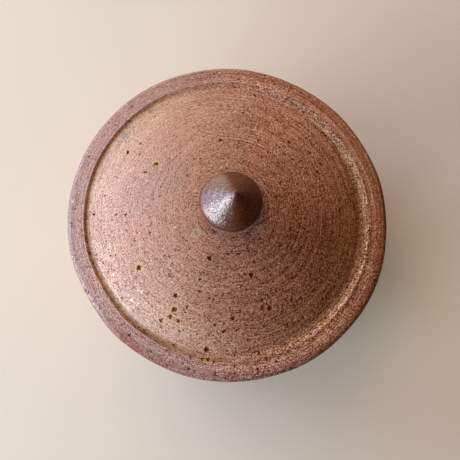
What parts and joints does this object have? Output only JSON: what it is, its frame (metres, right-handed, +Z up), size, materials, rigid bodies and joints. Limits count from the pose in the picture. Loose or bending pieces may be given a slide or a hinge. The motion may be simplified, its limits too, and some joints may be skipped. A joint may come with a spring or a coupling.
{
  "type": "salt pot",
  "caption": "Squat unglazed red-brown stoneware pot for salt, with a brimmed, domed lid that lifts off by a dark pointed knob.",
  "frame": {"origin": "on the table, at the centre of the pot's foot ring", "axes": "+Z up along the axis that the pot, lid and knob are turned about; X and Y are any two directions across it"},
  "size_m": [0.11, 0.11, 0.0989],
  "materials": {
    "pot_stoneware": "unglazed, matte, fine dark pits and pale flecks",
    "lid_stoneware": "unglazed, matte, turning lines, fine dark pits and pale flecks",
    "knob_stoneware": "dark brown, satin from ash and flame"
  },
  "bodies": {
    "pot": {"pot": "pot_stoneware"},
    "lid": {"lid": "lid_stoneware", "knob": "knob_stoneware"}
  },
  "joints": [
    {"name": "lid_lift", "type": "slide", "parent": "pot", "child": "lid", "axis": [0, 0, 1], "range_m": [0, 0.12]}
  ]
}
